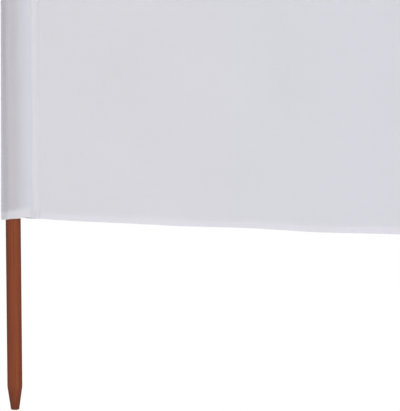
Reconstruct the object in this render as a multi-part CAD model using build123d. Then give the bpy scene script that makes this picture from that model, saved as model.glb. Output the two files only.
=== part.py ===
from build123d import *

import os
from math import acos, atan2, cos, hypot, pi, radians, sin, sqrt

# A beach windbreak: bays of light cloth held up by round wooden poles, one pole in a sewn
# sleeve at each end and between each two bays.
#
# Millimetres, +Z up. The origin is the centre of the first pole's foot. The windbreak runs
# along +X, and its bays turn right and left of that line in turn, so that it stands in a
# shallow zigzag. Hems are folded to the +Y side, which is the back.

# ---- Driving dimensions ----

BAYS = 5
BAY_LENGTH = 1200.0  # from pole centre to pole centre
ZIGZAG_ANGLE = 16.0  # degrees that each bay turns off the X axis

POLE_DIAMETER = 30.0
POLE_BELOW_CLOTH = 387.0
POLE_ABOVE_CLOTH = 13.0
POLE_TOP_CHAMFER = 2.0
FOOT_DIAMETER = 17.0
FOOT_TAPER_LENGTH = 47.0
FOOT_ROUNDING = 1.5

CLOTH_HEIGHT = 1200.0
CLOTH_THICKNESS = 1.0
CLOTH_SAG = 5.0  # how far each bay's edges dip halfway between their poles
HEM_HEIGHT = 16.0

POLE_CLEARANCE = 0.3  # between a pole and the hem inside its sleeve
FIN_WIDTH = 17.0  # the flat strip where a sleeve is sewn onto a panel
END_SEAM_GAP = 22.2  # from a snug fit round the pole to the fin, on the two end sleeves
INNER_SEAM_GAP = 14.7  # the same on the sleeves between bays
FOLD_RADIUS = 3.0  # inside the fold at the free edge of an end sleeve
FOLD_SLACK_BOTTOM = 8.2  # how much further than a snug fit the fold reaches, bottom and top
FOLD_SLACK_TOP = 0.8
FOLD_SECTIONS = 4  # sections that shape the fold from bottom to top
HEM_SLIT = 0.2  # what is left open between a sleeve hem's two layers at the fin

# ---- Derived dimensions ----

POLE_RADIUS = POLE_DIAMETER / 2
POLE_LENGTH = POLE_BELOW_CLOTH + CLOTH_HEIGHT + POLE_ABOVE_CLOTH
CLOTH_BOTTOM = POLE_BELOW_CLOTH
HEM_BORE = POLE_RADIUS + POLE_CLEARANCE
SLEEVE_BORE = HEM_BORE + CLOTH_THICKNESS
SLEEVE_RADIUS = SLEEVE_BORE + CLOTH_THICKNESS
END_FIN_START = SLEEVE_RADIUS + END_SEAM_GAP
INNER_FIN_START = SLEEVE_RADIUS + INNER_SEAM_GAP


# ---- Where the poles and bays stand ----


def bay_angle(bay):
    """Degrees about Z of a bay, counted from 1: the first turns right, the next left."""
    return -ZIGZAG_ANGLE if bay % 2 else ZIGZAG_ANGLE


def pole_place(pole):
    """Where a pole, counted from 1, stands: at the end of the bays before it."""
    x = y = 0.0
    for bay in range(1, pole):
        x += BAY_LENGTH * cos(radians(bay_angle(bay)))
        y += BAY_LENGTH * sin(radians(bay_angle(bay)))
    return Pos(x, y, 0)


def bay_place(bay):
    """The bay's own frame: X from its first pole to its second, the cloth's back at +Y."""
    return pole_place(bay) * Rot(0, 0, bay_angle(bay))


def fin_start(pole):
    """How far from its pole's centre a sleeve's fins begin."""
    return INNER_FIN_START if 1 < pole <= BAYS else END_FIN_START


# ---- Poles ----


def make_pole():
    """A round pole turned from one piece, with a blunt tapered foot and a chamfered top."""
    profile = Polyline(
        (0, 0),
        (FOOT_DIAMETER / 2, 0),
        (POLE_RADIUS, FOOT_TAPER_LENGTH),
        (POLE_RADIUS, POLE_LENGTH - POLE_TOP_CHAMFER),
        (POLE_RADIUS - POLE_TOP_CHAMFER, POLE_LENGTH),
        (0, POLE_LENGTH),
        close=True,
    )
    pole = revolve(Plane.XZ * make_face(profile), Axis.Z)
    foot_edge = pole.edges().filter_by(GeomType.CIRCLE).sort_by(Axis.Z)[0]
    return fillet(foot_edge, FOOT_ROUNDING)


# ---- Sleeves ----
#
# A sleeve's section is a belt that runs round the pole and narrows to an end on each side.
# An end is where the belt stops: two points, the edge between them, and the angles at which
# the belt's straight sides touch the pole's circle.


def polar(radius, angle):
    """A point at this distance and angle (radians) from the pole's axis."""
    return Vector(radius * cos(angle), radius * sin(angle))


def fin_end(bore, angle, start, half_gap):
    """The belt's end at a fin, where its two layers come together on a panel."""
    across = polar(half_gap, angle + pi / 2)
    low, high = polar(start, angle) - across, polar(start, angle) + across
    reach = acos(bore / hypot(start, half_gap))
    lean = atan2(half_gap, start)
    return low, high, Line(low, high), angle - lean - reach, angle + lean + reach


def fold_end(bore, angle, reach, fold_radius):
    """The belt's end at a fold, a small arc whose tip lies at reach from the pole's axis."""
    centre = polar(reach - fold_radius, angle)
    turn = acos((bore - fold_radius) / (reach - fold_radius))
    low = centre + polar(fold_radius, angle - turn)
    high = centre + polar(fold_radius, angle + turn)
    arc = ThreePointArc(low, polar(reach, angle), high)
    return low, high, arc, angle - turn, angle + turn


def belt(bore, first, second):
    """The face inside a belt round a circle of radius bore, between its two ends."""
    low_1, high_1, edge_1, from_1, to_1 = first
    low_2, high_2, edge_2, from_2, to_2 = second
    edges = [edge_1, edge_2]
    for start, end, begin, stop in (
        (high_1, low_2, to_1, from_2),
        (high_2, low_1, to_2, from_1 + 2 * pi),
    ):
        touch, leave = polar(bore, begin), polar(bore, stop)
        edges.append(Line(start, touch))
        edges.append(ThreePointArc(touch, polar(bore, (begin + stop) / 2), leave))
        edges.append(Line(leave, end))
    return make_face(edges)


def fold_slack(share):
    """How much further than a snug fit the fold reaches, at this share of the height."""
    return FOLD_SLACK_TOP + (FOLD_SLACK_BOTTOM - FOLD_SLACK_TOP) * (1 - share) ** 2


def half_gap(layer):
    """Half the gap between a sleeve's two layers at its fin: 1 leaves room for the panel."""
    return (1.5 * CLOTH_THICKNESS, 0.5 * CLOTH_THICKNESS, HEM_SLIT / 2)[layer]


def end_core(layer, toward):
    """The solid inside an end sleeve: 0 is its outside, 1 its inside, 2 its hem's inside.

    toward is the angle of the only panel. The fold lies on the other side of the pole, and
    reaches further at the bottom than at the top, so the solid is lofted.
    """
    inset = layer * CLOTH_THICKNESS
    bore = SLEEVE_RADIUS - inset
    fin = fin_end(bore, toward, END_FIN_START, half_gap(layer))
    sections = []
    for step in range(FOLD_SECTIONS):
        share = step / (FOLD_SECTIONS - 1)
        reach = SLEEVE_RADIUS + fold_slack(share) - inset
        fold = fold_end(bore, toward + pi, reach, FOLD_RADIUS + CLOTH_THICKNESS - inset)
        sections.append(Pos(0, 0, CLOTH_BOTTOM + share * CLOTH_HEIGHT) * belt(bore, fin, fold))
    return loft(sections, ruled=True)


def inner_core(layer, first_angle, second_angle):
    """The same for a sleeve between two bays, which has a fin on each side and no fold."""
    bore = SLEEVE_RADIUS - layer * CLOTH_THICKNESS
    ends = [
        fin_end(bore, angle, INNER_FIN_START, half_gap(layer))
        for angle in (first_angle, second_angle)
    ]
    return extrude(Pos(0, 0, CLOTH_BOTTOM) * belt(bore, *ends), CLOTH_HEIGHT)


def core(pole, layer):
    """The solid inside a layer of this pole's sleeve, whichever kind it is."""
    after, before = radians(bay_angle(pole)), radians(bay_angle(pole - 1)) + pi
    if pole == 1:
        return end_core(layer, after)
    if pole == BAYS + 1:
        return end_core(layer, before)
    return inner_core(layer, after, before)


def fin_slab(pole, angle, thickness):
    """A flat upright slab along a fin of this pole's sleeve."""
    slab = Box(
        FIN_WIDTH, thickness, CLOTH_HEIGHT, align=(Align.MIN, Align.CENTER, Align.MIN)
    )
    return Rot(0, 0, angle) * Pos(fin_start(pole), 0, CLOTH_BOTTOM) * slab


def fin_angles(pole):
    """Degrees about Z of the fins of this pole's sleeve."""
    angles = []
    if pole <= BAYS:
        angles.append(bay_angle(pole))
    if pole > 1:
        angles.append(bay_angle(pole - 1) + 180)
    return angles


def make_sleeve(pole):
    """A tall pocket of cloth round a pole, with its two layers sewn onto each panel's edge.

    At an end it is one piece, folded at its free edge. Between two bays it is two, a front
    and a back, and the panels' edges lie between them.
    """
    sleeve = core(pole, 0)
    for angle in fin_angles(pole):
        sleeve += fin_slab(pole, angle, 3 * CLOTH_THICKNESS)
    sleeve -= core(pole, 1)
    for angle in fin_angles(pole):
        sleeve -= fin_slab(pole, angle, CLOTH_THICKNESS)
    return sleeve


def make_sleeve_hem(pole):
    """The sleeve's hems, folded inside it at the bottom and at the top: two closed bands."""
    lining = core(pole, 1) - core(pole, 2)
    middle_height = CLOTH_HEIGHT - 2 * HEM_HEIGHT
    span = 2 * (END_FIN_START + FIN_WIDTH)
    middle = Box(span, span, middle_height, align=(Align.CENTER, Align.CENTER, Align.MIN))
    return lining - Pos(0, 0, CLOTH_BOTTOM + HEM_HEIGHT) * middle


# ---- Panels and their hems ----


def dip(along, bay):
    """How far a bay's edge dips at this distance from its first pole: a circle's arc."""
    first, last = fin_start(bay), BAY_LENGTH - fin_start(bay + 1)
    half_span, middle = (last - first) / 2, (first + last) / 2
    radius = (half_span**2 + CLOTH_SAG**2) / (2 * CLOTH_SAG)
    return sqrt(radius**2 - (along - middle) ** 2) - radius + CLOTH_SAG


def band(bay, first, last, bottom, height, back, thickness):
    """An upright strip of cloth along a bay, whose lower and upper edges both dip."""
    middle = (first + last) / 2
    lower = [Vector(s, back, bottom - dip(s, bay)) for s in (first, middle, last)]
    upper = [point + Vector(0, 0, height) for point in lower]
    outline = [
        ThreePointArc(*lower),
        Line(lower[2], upper[2]),
        ThreePointArc(*upper),
        Line(upper[0], lower[0]),
    ]
    return extrude(make_face(outline), thickness, dir=(0, 1, 0))


def make_panel(bay):
    """The cloth of one bay, from inside one sleeve's fin to inside the next."""
    first, last = fin_start(bay), BAY_LENGTH - fin_start(bay + 1)
    back = -CLOTH_THICKNESS / 2
    return band(bay, first, last, CLOTH_BOTTOM, CLOTH_HEIGHT, back, CLOTH_THICKNESS)


def make_panel_hem(bay, bottom):
    """A hem folded onto the panel's back, from fin to fin, with its lower edge at bottom."""
    first = fin_start(bay) + FIN_WIDTH
    last = BAY_LENGTH - fin_start(bay + 1) - FIN_WIDTH
    return band(bay, first, last, bottom, HEM_HEIGHT, CLOTH_THICKNESS / 2, CLOTH_THICKNESS)


# ---- The windbreak ----


def make_windbreak():
    """Every piece in its place, by name."""
    pieces = {}
    for pole in range(1, BAYS + 2):
        place = pole_place(pole)
        pieces[f"pole_{pole}"] = place * make_pole()
        layers = (place * make_sleeve(pole)).solids().sort_by(Axis.Y)
        names = ("sleeve",) if len(layers) == 1 else ("sleeve_front", "sleeve_back")
        for name, layer in zip(names, layers):
            pieces[f"{name}_{pole}"] = layer
        pieces[f"sleeve_hem_{pole}"] = place * make_sleeve_hem(pole)
    for bay in range(1, BAYS + 1):
        place = bay_place(bay)
        pieces[f"panel_{bay}"] = place * make_panel(bay)
        pieces[f"bottom_hem_{bay}"] = place * make_panel_hem(bay, CLOTH_BOTTOM)
        top = CLOTH_BOTTOM + CLOTH_HEIGHT - HEM_HEIGHT
        pieces[f"top_hem_{bay}"] = place * make_panel_hem(bay, top)
    return pieces


os.makedirs("parts", exist_ok=True)
for name, piece in make_windbreak().items():
    export_step(piece, f"parts/{name}.step")
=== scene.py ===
# %% [markdown]
# # A beach windbreak
#
# A beach windbreak is a long low screen of thin cloth with a wooden pole in a sewn sleeve
# every metre or so. The poles are pushed into the sand, and the cloth is pulled tight between
# them. Everything that gives it its look is in how it is sewn: hems, sleeves, and the flat
# strips, called fins here, where a sleeve is sewn onto the edge of a panel.
#
# The frame gives the solid pieces at their real size. Every length below is in metres, and
# every place is worked out from the frame's boxes.

# %% Load the frame
from math import pi, radians

import bpy
import numpy as np
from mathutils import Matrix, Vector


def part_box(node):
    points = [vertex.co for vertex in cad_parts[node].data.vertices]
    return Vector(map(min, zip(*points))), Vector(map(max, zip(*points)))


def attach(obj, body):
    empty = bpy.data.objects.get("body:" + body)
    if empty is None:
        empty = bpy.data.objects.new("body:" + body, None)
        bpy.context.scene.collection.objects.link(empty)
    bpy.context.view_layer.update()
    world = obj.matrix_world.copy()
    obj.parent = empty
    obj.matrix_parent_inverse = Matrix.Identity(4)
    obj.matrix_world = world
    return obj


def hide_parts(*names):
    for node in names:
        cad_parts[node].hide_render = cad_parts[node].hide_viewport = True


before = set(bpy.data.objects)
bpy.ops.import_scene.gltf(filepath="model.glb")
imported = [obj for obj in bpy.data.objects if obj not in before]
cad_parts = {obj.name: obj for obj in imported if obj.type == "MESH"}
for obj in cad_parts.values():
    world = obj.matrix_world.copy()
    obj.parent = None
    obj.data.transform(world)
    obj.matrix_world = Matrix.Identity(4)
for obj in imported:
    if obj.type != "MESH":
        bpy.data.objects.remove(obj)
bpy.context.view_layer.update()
print("nodes in the frame:", len(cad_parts))

# %% Read the layout
pole_count = sum(name.startswith("pole_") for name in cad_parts)
bay_count = pole_count - 1
pole_boxes = np.array([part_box(f"pole_{k + 1}") for k in range(pole_count)])
feet = pole_boxes.mean(axis=1)[:, :2]
pole_radius = (pole_boxes[0, 1, 0] - pole_boxes[0, 0, 0]) / 2
pole_top = pole_boxes[0, 1, 2]

steps = np.diff(feet, axis=0)
bay_length = float(np.hypot(*steps[0]))
bay_turns = np.arctan2(steps[:, 1], steps[:, 0])

sleeve_box, panel_box = np.array(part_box("sleeve_1")), np.array(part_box("panel_1"))
cloth_low, cloth_high = sleeve_box[:, 2]
cloth_height = cloth_high - cloth_low
sag = cloth_low - panel_box[0, 2]
end_fin_start = (panel_box[0, 0] - feet[0, 0]) / np.cos(bay_turns[0])
inner_fin_start = bay_length - (panel_box[1, 0] - feet[0, 0]) / np.cos(bay_turns[0])
print(f"{bay_count} bays of {bay_length:.3f} m, with cloth {cloth_height:.3f} m high")

# %% Name the sewing sizes
FIN_WIDTH = 0.017
HEM = 0.016
HEM_SEAM = HEM - 0.0025  # from the cloth's edge to the hem's row of stitches
CLOTH = 0.0003  # the cloth's thickness
PLY = 0.00036  # from one layer to the next where layers are sewn tight
HEM_ROOM = 0.0006  # from one layer to the next where a hem hangs free
EASE = 0.00045  # from a pole to the middle of the cloth round it
SEAM_INSET = 0.0015  # from a fin's edge to its row of stitches
TURN_UNDER = 0.005  # how much of a sleeve's edge is turned under, inside the fin
PUFF = 0.0012  # how far a fin stands up between its two rows of stitches
FOLD_RADIUS = 0.0038  # how tightly an end sleeve turns at its fold
fold_reach_low = float((feet[0, 0] - sleeve_box[0, 0]) / np.cos(bay_turns[0]))
FOLD_REACH_HIGH = 0.0181  # from the pole's axis to the end sleeve's fold, at the top
print(f"an end sleeve's fold lies {fold_reach_low * 1000:.1f} mm from the pole's axis at the bottom")

# %% [markdown]
# ## Putting an array into a mesh
#
# A sheet of cloth is a grid of points, with rows and columns, so one helper turns any grid
# into a mesh: its corners, its four-sided faces, and a UV map in metres of flat cloth. The UV
# map is what lets a weave follow the cloth round folds. Solidify then gives the sheet its
# thickness, which also closes its edges.

# %% Turn a grid of points into a mesh


def grid_faces(rows, columns, wrap=False):
    """The four corners of each cell of a grid, numbered row by row. wrap joins the last column
    to the first."""
    across = columns if wrap else columns - 1
    row, column = np.meshgrid(np.arange(rows - 1), np.arange(across), indexing="ij")
    after = (column + 1) % columns
    corners = (row * columns + column, row * columns + after)
    corners += ((row + 1) * columns + after, (row + 1) * columns + column)
    return np.stack(corners, axis=-1).reshape(-1, 4)


def new_piece(name, points, faces, finish, flat=None, marks=None):
    """Make a smooth mesh object from arrays. flat holds each point's place on the flat cloth in
    metres, and marks holds one number a point for each named attribute."""
    mesh = bpy.data.meshes.new(name)
    mesh.from_pydata(points.reshape(-1, 3), [], faces)
    mesh.polygons.foreach_set("use_smooth", np.ones(len(faces), dtype=bool))
    if flat is not None:
        corner_points = np.empty(len(mesh.loops), dtype=np.int32)
        mesh.loops.foreach_get("vertex_index", corner_points)
        layer = mesh.uv_layers.new(name="flat")
        layer.data.foreach_set("uv", flat.reshape(-1, 2)[corner_points].ravel())
    for mark, values in (marks or {}).items():
        attribute = mesh.attributes.new(mark, "FLOAT", "POINT")
        attribute.data.foreach_set("value", np.ascontiguousarray(values, dtype=np.float32).ravel())
    mesh.materials.append(finish)
    mesh.update()
    piece = bpy.data.objects.new(name, mesh)
    bpy.context.scene.collection.objects.link(piece)
    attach(piece, "root")
    return piece


def thicken(piece, thickness):
    """Give a sheet its thickness, half of it on each side."""
    solidify = piece.modifiers.new("thickness", "SOLIDIFY")
    solidify.thickness = thickness
    solidify.offset = 0.0


print("a 3 by 4 grid has", len(grid_faces(3, 4)), "faces")

# %% [markdown]
# ## Finishes made of nodes
#
# A finish is a tree of nodes, and each node takes several calls to add and link. The class
# below does it in one short call, so that a finish reads as a list of what it does.
#
# The cloth is thin, so it does two things with light: about a third is given back by the face
# that it strikes, and the rest goes on through and leaves the other face scattered. A Diffuse
# look alone would lose the second, and the shade of the pole inside a sleeve would not show.
# So a Translucent shader is mixed in. What lies close behind the cloth then darkens it by
# itself, and a doubled hem lets less through. White cloth is whitened with a trace of blue,
# so what it gives back is a little bluer than what it lets through.
#
# A weave also has tiny gaps between its threads. About one part of the light in a hundred goes
# straight on through them, so a Transparent shader has that share. It is too little to see
# anything through.
#
# The weave is a plain one, one thread over and one under. It is two sets of waves across the
# flat cloth that take turns on a chequer, and it drives a very small bump.

# %% Build node trees with short calls


class Finish:
    """The nodes of a material, or of a world, added one by one."""

    def __init__(self, owner, output="OutputMaterial"):
        owner.use_nodes = True
        self.owner, self.output, self.tree = owner, output, owner.node_tree
        self.tree.nodes.clear()

    def node(self, kind, settings=None, **inputs):
        """Add a node. Each input is a value, or another node's socket to link."""
        node = self.tree.nodes.new("ShaderNode" + kind)
        for key, value in (settings or {}).items():
            setattr(node, key, value)
        for key, value in inputs.items():
            name = key.replace("_", " ")
            slot = node.inputs[int(name[1:])] if name[1:].isdigit() else node.inputs[name]
            if isinstance(value, bpy.types.NodeSocket):
                self.tree.links.new(value, slot)
            else:
                slot.default_value = value
        return node

    def math(self, operation, first, second=0.0):
        """The result of one Math node."""
        settings = {"operation": operation}
        return self.node("Math", settings, s0=first, s1=second).outputs[0]

    def mix(self, share, first, second, blend="MIX"):
        """A colour mix: share 0 gives the first and 1 the second."""
        settings = {"data_type": "RGBA", "blend_type": blend}
        return self.node("Mix", settings, s0=share, s6=first, s7=second).outputs[2]

    def spread(self, value, low, high, to_low=0.0, to_high=1.0):
        """Stretch the range low to high onto another range, and hold it there."""
        settings = {"clamp": True}
        ends = {"From_Min": low, "From_Max": high, "To_Min": to_low, "To_Max": to_high}
        return self.node("MapRange", settings, Value=value, **ends).outputs[0]

    def attribute(self, name):
        """A named number that the mesh carries."""
        return self.node("Attribute", {"attribute_name": name}).outputs["Fac"]

    def done(self, surface):
        """Connect the finished shader to the output, and return the material or the world."""
        self.node(self.output, Surface=surface)
        return self.owner


def rgb(red, green, blue):
    """A colour from screen values of 0 to 255, as the linear light that shaders work in."""
    screen = np.array([red, green, blue]) / 255
    linear = np.where(screen <= 0.04045, screen / 12.92, ((screen + 0.055) / 1.055) ** 2.4)
    return (*linear.tolist(), 1.0)


print("mid grey is", round(rgb(128, 128, 128)[0], 3), "in linear light")

# %% Finish the cloth
PANEL_COLOUR = (0.934, 0.919, 0.948, 1.0)
# The cooler colours are painted light: a bluish cast of the light, laid on the cloth in slow waves.
PANEL_PAINTED_BLUE_LIGHT = (0.932, 0.918, 0.959, 1.0)
# The doubled colours are painted light: doubled cloth, hems and fins are painted lighter for the
# light they give back.
PANEL_DOUBLED_PAINTED_LIGHT = (0.967, 0.952, 0.981, 1.0)
# The sleeves' colours are painted light: the same white cloth as the panels, painted a little lighter
# and bluer to lift the shade inside the sleeves.
SLEEVE_COLOUR_PAINTED_LIGHTER = (0.945, 0.943, 0.978, 1.0)
SLEEVE_PAINTED_BLUE_LIGHT = (0.943, 0.941, 0.980, 1.0)
# Painted light, as with the panel's doubled colour.
SLEEVE_DOUBLED_PAINTED_LIGHT = (0.977, 0.966, 0.988, 1.0)
THROUGH = 0.66  # the share of a face's light that goes on through it
GAPS = 0.01  # the share that goes straight on between the threads
GIVEN_BACK = (0.925, 0.972, 1.010)  # what a face returns is a little bluer
LET_THROUGH = (1.020, 1.005, 0.974)  # and what goes on through it a little warmer
THREAD_PITCH = 0.0006
BLUE_LIGHT_WAVE, BLUE_LIGHT_START = 4.2, 1.6  # radians in a metre of cloth, and where the wave starts
SLUB_SCALE = (40.0, 900.0, 1.0)


def plain_weave(f, flat):
    """The height of a plain weave: two sets of sine waves, multiplied, go over and under by turns."""
    parts = f.node("SeparateXYZ", Vector=flat)
    warp = f.math("SINE", f.math("MULTIPLY", parts.outputs["X"], pi / THREAD_PITCH))
    weft = f.math("SINE", f.math("MULTIPLY", parts.outputs["Y"], pi / THREAD_PITCH))
    return f.math("MULTIPLY", warp, weft)


def cloth_finish(name, colour, painted_blue_light, doubled):
    """Thin plain-woven cloth. It is a little uneven, and bluer in slow waves, which is painted light:
    a bluish cast of the light. It is painted lighter where it is doubled, and most at a hem's fold.
    That is painted light for the light that doubled cloth and a fold give back instead of losing it
    through. Slubs are the thicker places in a thread, long across the cloth and thin up it."""
    f = Finish(bpy.data.materials.new(name))
    flat = f.node("UVMap", {"uv_map": "flat"}).outputs[0]
    cloudy = f.node("TexNoise", Vector=flat, Scale=5.0, Detail=3.0, Roughness=0.5).outputs["Fac"]
    drawn_out = f.node("Mapping", Vector=flat, Scale=SLUB_SCALE).outputs[0]
    slubs = f.node("TexNoise", Vector=drawn_out, Scale=1.0, Detail=2.0).outputs["Fac"]
    across = f.node("SeparateXYZ", Vector=flat).outputs["X"]
    wave = f.math("SINE", f.math("SUBTRACT", f.math("MULTIPLY", across, BLUE_LIGHT_WAVE), BLUE_LIGHT_START))
    # Painted light: a slow wave across the cloth mixes its colour toward the bluer one.
    tint = f.mix(f.spread(wave, -0.6, 1.0), colour, painted_blue_light)
    # Painted light: where the cloth is doubled, and most at a hem's fold, its colour is mixed toward
    # the lighter doubled colour.
    tint = f.mix(f.attribute("doubled"), tint, doubled)
    cloudy = f.spread(cloudy, 0.3, 0.7, 0.99, 1.005)
    shade = f.math("MULTIPLY", cloudy, f.spread(slubs, 0.3, 0.7, 0.99, 1.01))
    tint = f.node("VectorMath", {"operation": "SCALE"}, s0=tint, Scale=shade).outputs[0]
    height = f.math("ADD", f.math("MULTIPLY", plain_weave(f, flat), 0.5), slubs)
    bump = f.node("Bump", Strength=0.35, Distance=0.00008, Height=height).outputs[0]
    multiply = {"operation": "MULTIPLY"}
    given_back = f.node("VectorMath", multiply, s0=tint, s1=GIVEN_BACK).outputs[0]
    let_through = f.node("VectorMath", multiply, s0=tint, s1=LET_THROUGH).outputs[0]
    body = f.node("BsdfPrincipled", Base_Color=given_back, Roughness=0.85, Normal=bump)
    body.inputs["Specular IOR Level"].default_value = 0.25
    body.inputs["Sheen Weight"].default_value = 0.05
    body.inputs["Sheen Roughness"].default_value = 0.5
    through = f.node("BsdfTranslucent", Color=let_through, Normal=bump)
    both = f.node("MixShader", Fac=THROUGH, s1=body.outputs[0], s2=through.outputs[0])
    gap = f.node("BsdfTransparent")
    woven = f.node("MixShader", Fac=GAPS, s1=both.outputs[0], s2=gap.outputs[0])
    return f.done(woven.outputs[0])


panel_finish = cloth_finish("white_cloth", PANEL_COLOUR, PANEL_PAINTED_BLUE_LIGHT, PANEL_DOUBLED_PAINTED_LIGHT)
# The sleeves get a lighter copy of the cloth: painted light.
lighter_sleeve_finish = cloth_finish("white_sleeve_cloth_painted_lighter", SLEEVE_COLOUR_PAINTED_LIGHTER, SLEEVE_PAINTED_BLUE_LIGHT, SLEEVE_DOUBLED_PAINTED_LIGHT)
print("cloth finishes:", panel_finish.name, lighter_sleeve_finish.name)

# %% [markdown]
# ## Thread and wood
#
# The thread is smooth and tightly spun, so it shines a little more than the cloth. One fine
# noise makes it uneven, and more would be lost on something half a millimetre wide.
#
# The poles are softwood in a brown stain, which soaks in unevenly. A picture of wood could be
# wrapped round them, but it would leave a seam and make six poles alike. A noise that is
# stretched along the pole and read at each point's own place has no seam and differs on every
# pole. Three of them make the grain, its dark pores and broad bands. Where the patterns start
# is chosen so that the first pole is darker on its left side: painted shade for light from the
# right. Cut wood takes up more stain, so the foot is darker.

# %% Finish the thread
THREAD_SHADE, THREAD_LIGHT = (0.78, 0.79, 0.81, 1.0), (0.86, 0.87, 0.89, 1.0)


def thread_finish():
    """White sewing thread with a little shine."""
    f = Finish(bpy.data.materials.new("sewing_thread"))
    place = f.node("TexCoord").outputs["Object"]
    noise = f.node("TexNoise", Vector=place, Scale=900.0)
    colour = f.mix(noise.outputs["Fac"], THREAD_SHADE, THREAD_LIGHT)
    body = f.node("BsdfPrincipled", Base_Color=colour, Roughness=0.55)
    return f.done(body.outputs[0])


white_thread = thread_finish()
print("thread finish:", white_thread.name)

# %% Finish the wood
STAIN = rgb(120, 59, 34)
STAIN_DARK = rgb(94, 44, 27)
STAIN_LIGHT = rgb(137, 71, 43)
# Painted shade: the shift is chosen so that the first pole's pattern is darker on its left side, as
# if lit from the right.
WOOD_SHIFT_PAINTED_SHADE = (2.55, 0.51, 2.89)  # which part of the pattern the first pole shows
# How fine each pattern is, across the pole twice and then up it.
GRAIN_SCALE = (150.0, 150.0, 3.0)
PORE_SCALE = (900.0, 900.0, 14.0)
BAND_SCALE = (30.0, 30.0, 0.7)


def wood_finish():
    """Brown-stained softwood: thin streaks up the pole, in broad bands that go round it, and
    darker where the foot was cut. The patterns are placed so that the first pole is darker on its
    left side, which is painted shade."""
    f = Finish(bpy.data.materials.new("stained_pole"))
    unshifted = f.node("TexCoord").outputs["Object"]
    place = f.node("Mapping", Vector=unshifted, Location=WOOD_SHIFT_PAINTED_SHADE).outputs[0]
    drawn_out = f.node("Mapping", Vector=place, Scale=GRAIN_SCALE).outputs[0]
    grain = f.node("TexNoise", Vector=drawn_out, Scale=1.0, Detail=4.0, Distortion=0.6).outputs["Fac"]
    fine = f.node("Mapping", Vector=place, Scale=PORE_SCALE).outputs[0]
    pores = f.node("TexNoise", Vector=fine, Scale=1.0, Detail=3.0).outputs["Fac"]
    broad = f.node("Mapping", Vector=place, Scale=BAND_SCALE).outputs[0]
    bands_and_shade = f.node("TexNoise", Vector=broad, Scale=1.0, Detail=1.0).outputs["Fac"]
    colour = f.mix(f.spread(grain, 0.35, 0.68), STAIN, STAIN_LIGHT)
    colour = f.mix(f.spread(pores, 0.52, 0.72, 0.0, 0.55), colour, STAIN_DARK)
    # The broad bands are partly the stain's own and partly painted shade on the first pole's left
    # side.
    colour = f.mix(f.spread(bands_and_shade, 0.36, 0.6, 0.75, 0.0), colour, STAIN_DARK)
    colour = f.mix(f.math("MULTIPLY", f.attribute("cut"), 0.72), colour, STAIN_DARK)
    height = f.math("ADD", grain, f.math("MULTIPLY", pores, 0.6))
    bump = f.node("Bump", Strength=0.5, Distance=0.0004, Height=height).outputs[0]
    rough = f.spread(pores, 0.3, 0.7, 0.55, 0.72)
    body = f.node("BsdfPrincipled", Base_Color=colour, Roughness=rough, Normal=bump)
    body.inputs["Specular IOR Level"].default_value = 0.15
    return f.done(body.outputs[0])


stained_wood = wood_finish()
print("wood finish:", stained_wood.name)

# %% [markdown]
# ## The poles
#
# Each pole is a turned round bar, so it is a profile carried round an axis. The foot is cut to
# a blunt cone, and its rim is rounded, and so is the top. The frame's own poles have flat
# sides from their coarse mesh, so each is replaced by one with 72 sides. A mark on the points
# of the cone tells the finish where the stain soaked into cut wood.

# %% Turn the poles
FOOT_RADIUS = 0.0085
FOOT_TAPER = 0.047
RIM = 0.0015
TOP_RIM = 0.002
POLE_SIDES = 72


def pole_profile():
    """Heights and radii up a pole: a flat foot, a rounded rim, the cone, the straight bar, a
    rounded rim and a flat top. Each rim is part of a circle, in steps of angle."""
    lean = np.arctan2(pole_radius - FOOT_RADIUS, FOOT_TAPER)
    angle = np.linspace(0, pi / 2 - lean, 6)
    foot_z, foot_r = RIM * (1 - np.cos(angle)), FOOT_RADIUS - RIM * (1 - np.sin(angle))
    share = np.linspace(0.1, 0.94, 10)
    cone_z = foot_z[-1] + share * (FOOT_TAPER - foot_z[-1])
    cone_r = foot_r[-1] + share * (pole_radius - foot_r[-1])
    bar_z = np.array([FOOT_TAPER + 0.0015, FOOT_TAPER + 0.005, pole_top - 0.01])
    angle = np.linspace(0, pi / 2, 6)
    top_z = pole_top - TOP_RIM * (1 - np.sin(angle))
    top_r = pole_radius - TOP_RIM * (1 - np.cos(angle))
    heights = np.concatenate([foot_z, cone_z, bar_z, top_z])
    radii = np.concatenate([foot_r, cone_r, np.full(3, pole_radius), top_r])
    return heights, radii


def turn_pole(number):
    """Carry the profile round the pole's axis: x and y are the radius times the cosine and sine
    of the angle. A point in the middle closes each flat end."""
    heights, radii = pole_profile()
    angles = np.arange(POLE_SIDES) * 2 * pi / POLE_SIDES
    ring = np.stack([np.cos(angles), np.sin(angles)], axis=-1)
    points = np.empty((len(heights), POLE_SIDES, 3))
    points[..., :2] = feet[number] + radii[:, None, None] * ring
    points[..., 2] = heights[:, None]
    middles = np.array([[*feet[number], heights[0]], [*feet[number], heights[-1]]])
    everything = np.concatenate([points.reshape(-1, 3), middles])
    side = np.arange(POLE_SIDES)
    after, middle = (side + 1) % POLE_SIDES, len(everything) - 2 + 0 * side
    last_row = (len(heights) - 1) * POLE_SIDES
    foot_fan = np.stack([middle, after, side], axis=-1)
    top_fan = np.stack([middle + 1, last_row + side, last_row + after], axis=-1)
    faces = grid_faces(len(heights), POLE_SIDES, wrap=True).tolist()
    faces += foot_fan.tolist() + top_fan.tolist()
    cut = np.clip(1 - everything[:, 2] / FOOT_TAPER, 0, 1) ** 0.6
    cut[-1] = 1.0
    pole = new_piece(f"turned_pole_{number + 1}", everything, faces, stained_wood,
                     marks={"cut": cut})
    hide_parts(f"pole_{number + 1}")
    return pole


poles = [turn_pole(number) for number in range(pole_count)]
print("poles:", len(poles), "with", len(poles[0].data.polygons), "faces each")

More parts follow.
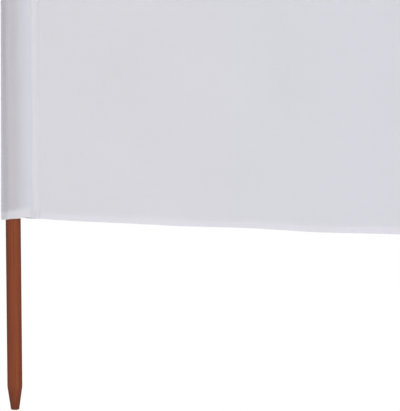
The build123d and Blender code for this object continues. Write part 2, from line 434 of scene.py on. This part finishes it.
# %% [markdown]
# ## How a hem runs through the cloth
#
# Every edge of the cloth is folded back by a hem and sewn. The cloth does not stop there: it
# goes down to the edge, turns round it and comes up again behind itself. So the rows of a
# sheet follow that path. Each row has a height and an inset, which is how far behind the
# front layer it lies: none on the front layer and one fold's width on the turned-up part.

# %% Work out the rows of a sheet
ROW_STEP = 0.024
FADE_HEIGHT = 0.06
EDGE_LIFT = 0.0016  # how far the lower edge has crept up the poles
HEM_BLEND = 0.002  # over what height the cloth goes from doubled to single
# Painted highlight: a hem is painted lighter at its fold, where it catches light, than at its inner
# edge.
FOLD_PAINTED_HIGHLIGHT = 0.35  # how much more a hem is lightened at its fold than at its inner edge


def hem_rows():
    """Rows from the end of the lower hem round the edge, up the front and round the upper edge.

    Returns the height above the cloth's edge, the inset as a share of the fold's width, and
    how far along the cloth each row lies."""
    radius = PLY / 2
    turned = np.linspace(HEM - 0.0005, 3 * PLY, 6)
    angle = np.linspace(0, pi, 7)
    bend_height, bend_inset = radius * (1 - np.sin(angle)), (1 + np.cos(angle)) / 2
    near = np.array([0.002, 0.005, 0.009, HEM - 0.004, HEM_SEAM, HEM - 0.001])
    near = np.concatenate([near, HEM + np.array([0.001, 0.004, 0.009])])
    plain = np.linspace(near[-1], cloth_height - near[-1], int(cloth_height / ROW_STEP))[1:-1]
    front = np.concatenate([near, plain, (cloth_height - near)[::-1]])
    height = np.concatenate([turned, bend_height, front, cloth_height - bend_height[::-1],
                             cloth_height - turned[::-1]])
    inset = np.concatenate([np.ones(len(turned)), bend_inset, np.zeros(len(front)),
                            bend_inset[::-1], np.ones(len(turned))])
    along = np.concatenate([[0], np.cumsum(np.hypot(np.diff(height), np.diff(inset) * PLY))])
    return height, inset, along


def fade(distance):
    """1 at the cloth's edge, easing to 0 at the fade height."""
    share = np.clip(distance / FADE_HEIGHT, 0, 1)
    return 1 - share * share * (3 - 2 * share)


row_height, row_inset, row_along = hem_rows()
from_edge = np.minimum(row_height, cloth_height - row_height)
row_doubled = np.maximum(np.clip((HEM + HEM_BLEND - from_edge) / HEM_BLEND, 0, 1), row_inset)
rows = [values[:, None] for values in (row_height, row_inset, row_doubled)]
# The hems' painted light: most at the fold, less toward the hem's inner edge, and none above the hem.
hem_painted_light = (row_doubled * (1 - FOLD_PAINTED_HIGHLIGHT * np.minimum(from_edge / HEM, 1)))[:, None]
print(len(row_height), "rows, and", round(float(row_along[-1]), 4), "m of cloth from hem to hem")

# %% [markdown]
# ## The panels
#
# A panel is stretched between two poles, so it is nearly flat. Its edges dip a little halfway
# along, as an arc, its hem is not quite straight, and slow shallow waves cross it where the
# pull is uneven. Those waves are a sum of a few long sines, held to nothing at the fins. A
# cloth simulation would only find this same near-flat shape, so the waves are written down.

# %% Shape a panel
PANEL_COLUMN_STEP = 0.012
PANEL_FIN_COLUMNS = 4  # how many of a panel's columns lie in each fin
SQUEEZED = 1.2  # for how many fin widths from its end a panel's hem lies tight against it
EDGE_RIPPLES = ((0.0009, 0.481), (0.0007, 0.25))  # how high and how long each one is
BELLY = 0.008  # how far the middle of a panel stands back
BILLOWS = ((0.003, 1.3, 0.8), (0.0015, 3.1, -1.4))  # height, and turns along and up the panel
wave_starts = np.random.default_rng(7).uniform(0, 2 * pi, (bay_count, 4))
wave_starts[0, 2:] = 2.34, 1.97  # the first bay's edge starts level and rises


def fin_start(pole):
    """How far from a pole's axis its fins begin."""
    return inner_fin_start if 0 < pole < pole_count - 1 else end_fin_start


def panel_ends(bay):
    """Where a panel begins and ends along its bay, inside the two fins."""
    return fin_start(bay), bay_length - fin_start(bay + 1)


def panel_share(bay, along):
    """The share of the way from one fin's outer edge to the other's: 0 and 1 inside the fins."""
    first, last = panel_ends(bay)
    return np.clip((along - first - FIN_WIDTH) / (last - first - 2 * FIN_WIDTH), 0, 1)


def edge_dip(bay, along):
    """How far both edges dip: a parabola with the sag halfway, less two slow ripples that are
    nothing at the fins."""
    share = panel_share(bay, along)
    ripple = sum(high * np.sin(2 * pi * along / wave + start)
                 for (high, wave), start in zip(EDGE_RIPPLES, wave_starts[bay, 2:]))
    return sag * 4 * share * (1 - share) - ripple * np.sin(pi * share) ** 0.3


def panel_billow(bay, along, height):
    """How far the panel stands back from flat: a shallow belly plus two slow slanting waves,
    times a window that is nothing at both fins."""
    share, up = panel_share(bay, along), height / cloth_height
    belly = BELLY * np.sin(pi * up)
    waves = sum(deep * np.sin(2 * pi * (long * share + tall * up) + start)
                for (deep, long, tall), start in zip(BILLOWS, wave_starts[bay, :2]))
    return np.sin(pi * share) ** 0.8 * (belly + waves)


def panel_points(bay, along, height, back):
    """Points of a panel from arrays of distance along the bay, height above the lower edge, and
    distance behind the panel's middle plane."""
    turn, foot = bay_turns[bay], feet[bay]
    deep = back + panel_billow(bay, along, height)
    x = foot[0] + along * np.cos(turn) - deep * np.sin(turn)
    y = foot[1] + along * np.sin(turn) + deep * np.cos(turn)
    z = cloth_low + height - edge_dip(bay, along) + EDGE_LIFT * fade(height)
    return np.stack(np.broadcast_arrays(x, y, z), axis=-1)


def panel_grid(bay):
    """A panel's points and their places on the flat cloth. Its turned-up hems lie behind it,
    tight against it inside the fins and a little free between them."""
    first, last = panel_ends(bay)
    count = int((last - first) / PANEL_COLUMN_STEP)
    open_part = np.linspace(first + FIN_WIDTH, last - FIN_WIDTH, count)
    in_fin = FIN_WIDTH * np.linspace(0, 0.9, PANEL_FIN_COLUMNS)
    along = np.concatenate([first + in_fin, open_part, last - in_fin[::-1]])[None, :]
    height, inset, doubled = rows
    from_end = np.minimum(along - first, last - along)
    squeezed = np.clip(1 + SQUEEZED - from_end / FIN_WIDTH, 0, 1)
    room = squeezed * PLY + (1 - squeezed) * HEM_ROOM
    back = room * (inset - 0.5 * squeezed * doubled)
    flat = np.stack(np.broadcast_arrays(along, row_along[:, None]), axis=-1)
    return panel_points(bay, along, height, back), flat


def sew_panel(bay):
    """Make one panel from its grid, and give it its thickness."""
    points, flat = panel_grid(bay)
    # The hems' painted light goes on the panel as its doubled mark.
    doubled = np.broadcast_to(hem_painted_light, points.shape[:2])
    panel = new_piece(f"cloth_panel_{bay + 1}", points, grid_faces(*points.shape[:2]),
                      panel_finish, flat=flat, marks={"doubled": doubled})
    thicken(panel, CLOTH)
    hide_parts(f"panel_{bay + 1}", f"bottom_hem_{bay + 1}", f"top_hem_{bay + 1}")
    return panel, points


panels, panel_grids = zip(*(sew_panel(bay) for bay in range(bay_count)))
print("panels:", len(panels), "with", len(panels[0].data.polygons), "faces each")

# %% [markdown]
# ## The sleeves
#
# Seen from above, the cloth of a sleeve is like a belt round a wheel. It leaves the fin, runs
# straight to where it touches the pole, bends round the pole, and at an end of the windbreak
# runs on to a fold. Between two bays there is a fin on each side, and the front and the back
# are two cloths with the panels' edges between them.
#
# A straight line from a point at distance D touches a circle of radius R where the angle
# between them is arccos(R / D). That one rule places every straight run. Each row of the
# sheet is its own belt, because the hem makes the radius larger and the fold reaches further
# out at the bottom than at the top.
#
# The fin's own section goes through a few steps from its outer edge: the cloth's edge is
# turned under, a row of stitches holds it down, it puffs up a little, and a second row holds
# it again. A wave of slack along the fin makes the puff uneven, as it is between stitches.

# %% Write the belt's straight runs and bends


def join_runs(*runs):
    """Put runs of (u, v) arrays one after another, row by row."""
    count = max(len(u) for u, v in runs)
    parts = []
    for u, v in runs:
        u, v = (np.broadcast_to(part, (count, part.shape[1])) for part in (u, v))
        parts.append(np.stack([u, v], axis=-1))
    return np.concatenate(parts, axis=1)


def straight(u_1, v_1, u_2, v_2, shares):
    """Points at these shares of the line between two points, one line a row."""
    return u_1 + (u_2 - u_1) * shares, v_1 + (v_2 - v_1) * shares


def bend(middle, radius, angles):
    """Points of an arc about a middle on the u axis, one arc a row."""
    return middle + radius * np.cos(angles), radius * np.sin(angles)


def between(first, last, shares):
    """Values at these shares of the way from first to last, one pair a row."""
    return first + (last - first) * shares


touch = float(np.degrees(np.arccos(15 / 40)))
print("a line from 40 mm away touches a 15 mm circle at", round(touch), "degrees")

# %% Shape half a sleeve, from a fin to the middle
FIN_COLUMNS = 17  # how many of a sleeve's columns lie in a fin
OUTER_SEAM, INNER_SEAM = 7, 15  # the columns that the two rows of stitches follow
SLACK_WAVES = ((0.3, 0.083, 0.0), (0.25, 0.031, 1.0))  # share of the puff, length and start


def fin_run(start):
    """A fin's section, from its turned-under edge to where the sleeve leaves the fin.

    Depths count plies below the outer layer. Turned under, a single layer lies one ply down,
    and a hem's two layers swap places and lie two and three plies down."""
    height, inset, doubled = rows
    end = start + FIN_WIDTH
    # How many plies the outer layer stands from the fin's middle, at its edge and inward of it.
    edge_plies, plies = 2 + 2.5 * doubled, 1 + 1.5 * doubled
    depth = 1 + 2 * doubled - inset
    angle = np.linspace(-pi / 2, pi / 2, 5)[None, :]
    radius = (depth - inset) * PLY / 2
    wrap_u = end - (0.5 + doubled) * PLY + radius * np.cos(angle)
    wrap_v = edge_plies * PLY - (1 + 2 * doubled) * PLY / 2 + radius * np.sin(angle)
    under_u = end - TURN_UNDER * np.array([[1.0, 0.5]])
    under_v = (edge_plies - depth) * PLY + 0 * under_u
    share = np.array([[0.0, 0.12, 0.25, 0.35, 0.5, 0.65, 0.8, 0.92, 1.0]])
    over_u = between(end - SEAM_INSET, start + SEAM_INSET, share)
    rise = np.clip((over_u - (end - TURN_UNDER)) / 0.001 + 1, 0, 1)
    slack = 1 + sum(part * np.sin(2 * pi * height / length + begins)
                    for part, length, begins in SLACK_WAVES)
    puff = PUFF * (1 - 0.6 * doubled) * slack * np.sin(pi * share) ** 2
    over_v = (plies + (edge_plies - plies) * rise - inset) * PLY + puff
    corner_u, corner_v = start + 0 * height, (plies - inset) * PLY
    return [(under_u, under_v), (wrap_u, wrap_v), (over_u, over_v), (corner_u, corner_v)]


def half_sleeve(start, half_turn):
    """One row of cloth a row of points, from a fin to the middle of a sleeve.

    The middle is round the pole by half_turn, or at the tip of the fold where half_turn is 0.
    u runs from the pole's axis toward the fin, and v is the distance to one side."""
    height, inset, doubled = rows
    corner = (1 + 1.5 * doubled - inset) * PLY
    radius = pole_radius + EASE + HEM_ROOM * (doubled - inset)
    touch = np.arctan2(corner, start) + np.arccos(radius / np.hypot(start, corner))
    shares = np.linspace(0, 1, 9)[None, 1:]
    runs = fin_run(start)
    runs += [straight(start, corner, radius * np.cos(touch), radius * np.sin(touch), shares)]
    if half_turn:
        runs += [bend(0, radius, between(touch, half_turn, shares))]
        return join_runs(*runs)
    up = height / cloth_height
    reach = FOLD_REACH_HIGH + (fold_reach_low - FOLD_REACH_HIGH) * (1 - up) ** 2
    reach, roll = reach - CLOTH / 2 - HEM_ROOM * inset, FOLD_RADIUS - HEM_ROOM * inset
    leave = pi - np.arccos((radius - roll) / (reach - roll))
    runs += [bend(0, radius, between(touch, leave, np.linspace(0, 1, 15)[None, 1:]))]
    fold_u, fold_v = roll - reach + roll * np.cos(leave), roll * np.sin(leave)
    thirds = np.array([[1 / 3, 2 / 3, 1.0]])
    runs += [straight(radius * np.cos(leave), radius * np.sin(leave), fold_u, fold_v, thirds)]
    runs += [bend(roll - reach, roll, between(leave, pi, np.linspace(0, 1, 7)[None, 1:]))]
    return join_runs(*runs)


print("half an end sleeve has", half_sleeve(end_fin_start, 0).shape[1], "columns")

# %% [markdown]
# ## Joining the halves
#
# Every cloth of a sleeve runs anticlockwise round its pole, seen from above, from one fin to
# the next, so its outside is always on its right. Its first half lies to the left of the
# first fin, and its second half, which is the same shape mirrored, to the right of the last
# fin. At an end of the windbreak the first and the last fin are the same one. Between two
# bays one cloth goes round the back and another round the front, and the one on the outside
# of the zigzag's corner turns further.
#
# A sleeve never hangs quite level. Its folded corner and its back layer have slipped down the
# pole a few millimetres, and that fades out a hand's width higher up.

# %% Join the halves round a pole
# Each slip is a bell curve: its middle as a share of the cloth's width, its width, its height.
END_SLIPS = ((0.14, 0.12, 0.0010), (0.51, 0.095, 0.0042), (0.83, 0.05, -0.0031))
BACK_SLIPS = ((0.45, 0.2, 0.0030),)
FRONT_SLIPS = ((0.3, 0.12, -0.0012), (0.7, 0.1, 0.0010))
HEM_TURNS = ((0.52, 0.07, -0.0012), (0.76, 0.09, 0.0045))  # how much more a hem is turned up
SLIP_AT_TOP = 0.4  # the share of a slip that is left at the upper edge


def bells(shares, curves):
    """The sum of bell curves, each its height times exp(-(distance / width) squared)."""
    return sum(high * np.exp(-(((shares - middle) / width) ** 2)) for middle, width, high in curves)


def placed(half, pole, turn, side):
    """A half's points in the scene's x and y. turn is its fin's direction, and side is 1 to the
    left of that direction or -1 to the right."""
    u, v = half[..., 0], side * half[..., 1]
    x = feet[pole, 0] + u * np.cos(turn) - v * np.sin(turn)
    y = feet[pole, 1] + u * np.sin(turn) + v * np.cos(turn)
    return np.stack([x, y], axis=-1)


def sleeve_grid(pole, first_turn, last_turn, slips):
    """A sleeve cloth's points, their places on the flat cloth, and how wide it was cut.

    Its edges droop along their length, and its lower hem is turned up by more in some places
    than in others."""
    half = half_sleeve(fin_start(pole), (last_turn - first_turn) % (2 * pi) / 2)
    first, last = placed(half, pole, first_turn, 1), placed(half, pole, last_turn, -1)
    level = np.concatenate([first, last[:, -2::-1]], axis=1)
    middle = level[len(level) // 2]
    along = np.concatenate([[0], np.cumsum(np.hypot(*np.diff(middle, axis=0).T))])
    shares = along / along[-1]
    slip, turned = bells(shares, slips), bells(shares, HEM_TURNS)
    height = rows[0]
    z = cloth_low + height - slip * (fade(height) + SLIP_AT_TOP * fade(cloth_height - height))
    z += EDGE_LIFT * fade(height) + turned * np.minimum(height / HEM, 1) * fade(height - HEM)
    points = np.concatenate([level, z[..., None]], axis=-1)
    flat = np.stack(np.broadcast_arrays(along, row_along[:, None]), axis=-1)
    return points, flat, float(along[-1])


def sew_sleeve(name, grid, replaced):
    """Make one sleeve cloth from its grid, in place of the frame's own nodes."""
    points, flat, width = grid
    # The fins are painted lighter too, as if fully doubled: painted light for the light their layers
    # give back.
    in_fin = np.zeros(points.shape[1])
    in_fin[:FIN_COLUMNS - 1] = in_fin[1 - FIN_COLUMNS:] = 1.0
    doubled = np.maximum(hem_painted_light, in_fin[None, :])
    piece = new_piece(name, points, grid_faces(*points.shape[:2]), lighter_sleeve_finish,
                      flat=flat, marks={"doubled": doubled})
    thicken(piece, CLOTH)
    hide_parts(*replaced)
    return piece, points, width


def cloths_round(pole):
    """For each cloth round a pole: its side, its two fins' directions, its slips, and the nodes
    that it takes the place of."""
    number = pole + 1
    if pole in (0, bay_count):
        turn = bay_turns[0] if pole == 0 else bay_turns[-1] + pi
        return [("", turn, turn, END_SLIPS, [f"sleeve_{number}", f"sleeve_hem_{number}"])]
    after, before = bay_turns[pole], bay_turns[pole - 1] + pi
    behind = [f"sleeve_back_{number}", f"sleeve_hem_{number}"]
    return [("back_", after, before, BACK_SLIPS, behind),
            ("front_", before, after, FRONT_SLIPS, [f"sleeve_front_{number}"])]


sleeves = []
for pole in range(pole_count):
    for side, first_turn, last_turn, slips, nodes in cloths_round(pole):
        grid = sleeve_grid(pole, first_turn, last_turn, slips)
        sleeves.append((pole, *sew_sleeve(f"cloth_sleeve_{side}{pole + 1}", grid, nodes)))
width = sleeves[0][3]
print("sleeve cloths:", len(sleeves), "the first", round(width, 4), "m wide before it is sewn")

# %% [markdown]
# ## The stitches
#
# A row of machine stitches is a line of short bumps, each one sinking into the cloth at both
# ends. One bump needs only ten points: a tip, two rings of four and another tip. The same
# bump is set along a line of the cloth's grid, so the rows of stitches lie on the cloth
# whatever shape it takes.

# %% Set stitches along a line
STITCH_PITCH = 0.0035
STITCH_LENGTH = 0.0027
STITCH_WIDTH = 0.0005
STITCH_RISE = 0.00022
SEAM_ENDS = 0.004  # how far short of a line's ends its stitches stop
NEARBY = 0.0005  # from a stitch's middle to the two places that give its direction


def stitch_shape():
    """One stitch's points, as shares of its length, width and rise, and its triangles."""
    ring = np.array([[0, 0.5, 0], [0, 0, 1], [0, -0.5, 0], [0, 0, -1]])
    low, high = ring + [-0.28, 0, 0.25], ring + [0.28, 0, 0.25]
    points = np.concatenate([[[-0.5, 0, -0.6]], low, high, [[0.5, 0, -0.6]]])
    side = np.arange(4)
    after, tip = (side + 1) % 4, 0 * side
    corners = [(tip, 1 + after, 1 + side), (1 + side, 1 + after, 5 + after),
               (1 + side, 5 + after, 5 + side), (tip + 9, 5 + side, 5 + after)]
    return points, np.concatenate([np.stack(triangle, axis=-1) for triangle in corners])


def unit(vectors):
    """The same directions, each 1 long."""
    return vectors / np.linalg.norm(vectors, axis=-1, keepdims=True)


def read_at(distances, line, values):
    """What values, given at the points of a line, are at these distances along it."""
    steps = np.linalg.norm(np.diff(line, axis=0), axis=1)
    length = np.concatenate([[0], np.cumsum(steps)])
    return np.stack([np.interp(distances, length, values[:, axis]) for axis in range(3)], axis=-1)


def sew(line, outward):
    """The points of a row of stitches along a line, clear of its two ends and standing outward
    from the cloth."""
    length = float(np.linalg.norm(np.diff(line, axis=0), axis=1).sum()) - 2 * SEAM_ENDS
    count = int(length / STITCH_PITCH)
    at = SEAM_ENDS + (np.arange(count) + 0.5) * length / count
    forward = unit(read_at(at + NEARBY, line, line) - read_at(at - NEARBY, line, line))
    up = read_at(at, line, np.broadcast_to(outward, line.shape))
    up = unit(up - (up * forward).sum(axis=-1, keepdims=True) * forward)
    long, wide, high = stitch_shape()[0].T[:, None, :, None]
    offset = long * STITCH_LENGTH * forward[:, None] + high * STITCH_RISE * up[:, None]
    offset = offset + wide * STITCH_WIDTH * np.cross(up, forward)[:, None]
    return read_at(at, line, line)[:, None] + offset


def stitch_piece(name, runs):
    """Join rows of stitches into one mesh object."""
    points = np.concatenate(runs)
    triangles = stitch_shape()[1]
    faces = (triangles + 10 * np.arange(len(points))[:, None, None]).reshape(-1, 3)
    return new_piece(name, points, faces, white_thread)


print("a stitch has", len(stitch_shape()[1]), "triangles")

# %% Sew the hems and the fins
front_rows = np.flatnonzero(row_inset == 0)
hem_seams = [int(front_rows[np.argmin(abs(row_height[front_rows] - at))])
             for at in (HEM_SEAM, cloth_height - HEM_SEAM)]


def to_the_right(line):
    """The level direction square to a line of points, which is the outside of every cloth."""
    ahead = np.gradient(line, axis=0)
    return unit(np.stack([ahead[:, 1], -ahead[:, 0], 0 * ahead[:, 2]], axis=-1))


def panel_stitches(bay):
    """Two hems, each sewn through from the front to the back."""
    runs = []
    for seam in hem_seams:
        line = panel_grids[bay][seam, PANEL_FIN_COLUMNS:-PANEL_FIN_COLUMNS]
        front = to_the_right(line)
        runs.append(sew(line + front * CLOTH / 2, front))
        runs.append(sew(line - front * (HEM_ROOM + CLOTH / 2), -front))
    return stitch_piece(f"panel_stitches_{bay + 1}", runs)


def sleeve_stitches(name, points):
    """The hems round the outside of a sleeve, and the two rows up each fin."""
    runs = []
    for seam in hem_seams:
        line = points[seam, OUTER_SEAM:-OUTER_SEAM]
        outside = to_the_right(line)
        runs.append(sew(line + outside * CLOTH / 2, outside))
    for column in (OUTER_SEAM, INNER_SEAM, -OUTER_SEAM - 1, -INNER_SEAM - 1):
        line = points[front_rows, column]
        outside = to_the_right(points[len(points) // 2])[column]
        runs.append(sew(line + outside * CLOTH / 2, outside))
    return stitch_piece(f"{name}_stitches", runs)


for bay in range(bay_count):
    stitches = panel_stitches(bay)
for pole, piece, points, width in sleeves:
    stitches = sleeve_stitches(piece.name, points)

# %% [markdown]
# ## Light, floor and camera
#
# The windbreak stands on white, lit softly from in front. So the sky is bright in front and
# dim behind, and a wide soft sun stands in front. The floor glows white as a studio sweep
# does, and only the camera sees it, as only the camera sees the sky as white.
#
# The camera has a long lens and stands well back. It looks a little down, and the poles still
# look nearly parallel.

# %% Light the scene
SKY_FRONT, SKY_BACK = 0.92, 0.42
SUN_STRENGTH, SUN_WIDTH = 0.9, 70  # the width in degrees of sky
SUN_TURN = (55, 0, 5)  # in degrees: tipped up from straight down, and turned to the right
FLOOR_REACH = 400.0


def make_sky():
    """A sky whose light goes smoothly from the front's strength to the back's."""
    f = Finish(bpy.data.worlds.new("studio"), "OutputWorld")
    direction = f.node("TexCoord").outputs["Generated"]
    toward_back = f.node("SeparateXYZ", Vector=direction).outputs["Y"]
    strength = f.spread(toward_back, -0.1, 0.6, SKY_FRONT, SKY_BACK)
    seen = f.node("LightPath").outputs["Is Camera Ray"]
    both = f.math("ADD", f.math("MULTIPLY", seen, f.math("SUBTRACT", 1.0, strength)), strength)
    sky = f.node("Background", Color=(1.0, 1.0, 1.0, 1.0), Strength=both)
    bpy.context.scene.world = f.done(sky.outputs[0])


def make_floor():
    """A white glowing floor that reaches far past every view, and lights nothing."""
    f = Finish(bpy.data.materials.new("white_sweep"))
    glow = f.node("Emission", Color=(1.0, 1.0, 1.0, 1.0), Strength=1.0)
    finish = f.done(glow.outputs[0])
    mesh = bpy.data.meshes.new("floor")
    corners = FLOOR_REACH * np.array([(-1, -1, 0), (1, -1, 0), (1, 1, 0), (-1, 1, 0)])
    mesh.from_pydata(corners, [], [(0, 1, 2, 3)])
    mesh.materials.append(finish)
    floor = bpy.data.objects.new("floor", mesh)
    bpy.context.scene.collection.objects.link(floor)
    floor.visible_diffuse = floor.visible_glossy = floor.visible_transmission = False
    floor.visible_shadow = False


def make_sun():
    """A wide soft sun, high in front and a little to the right."""
    light = bpy.data.lights.new("soft_sun", "SUN")
    light.energy, light.angle = SUN_STRENGTH, radians(SUN_WIDTH)
    sun = bpy.data.objects.new("soft_sun", light)
    sun.rotation_euler = [radians(turn) for turn in SUN_TURN]
    bpy.context.scene.collection.objects.link(sun)


make_sky()
make_floor()
make_sun()
print("lights:", len(bpy.data.lights))

# %% Set up the camera
CAMERA_PLACE = (0.372, -4.5, 0.969)
LOOKS_DOWN = 7.044  # degrees below level

camera_data = bpy.data.cameras.new("camera")
camera_data.lens, camera_data.sensor_width = 199.6, 36.0
camera_data.clip_end = 2000.0
camera = bpy.data.objects.new("camera", camera_data)
camera.location = CAMERA_PLACE
camera.rotation_euler = (radians(90 - LOOKS_DOWN), 0, 0)
bpy.context.scene.collection.objects.link(camera)
bpy.context.scene.camera = camera
bpy.context.scene.view_settings.view_transform = "Standard"
print("camera lens:", camera_data.lens, "mm")
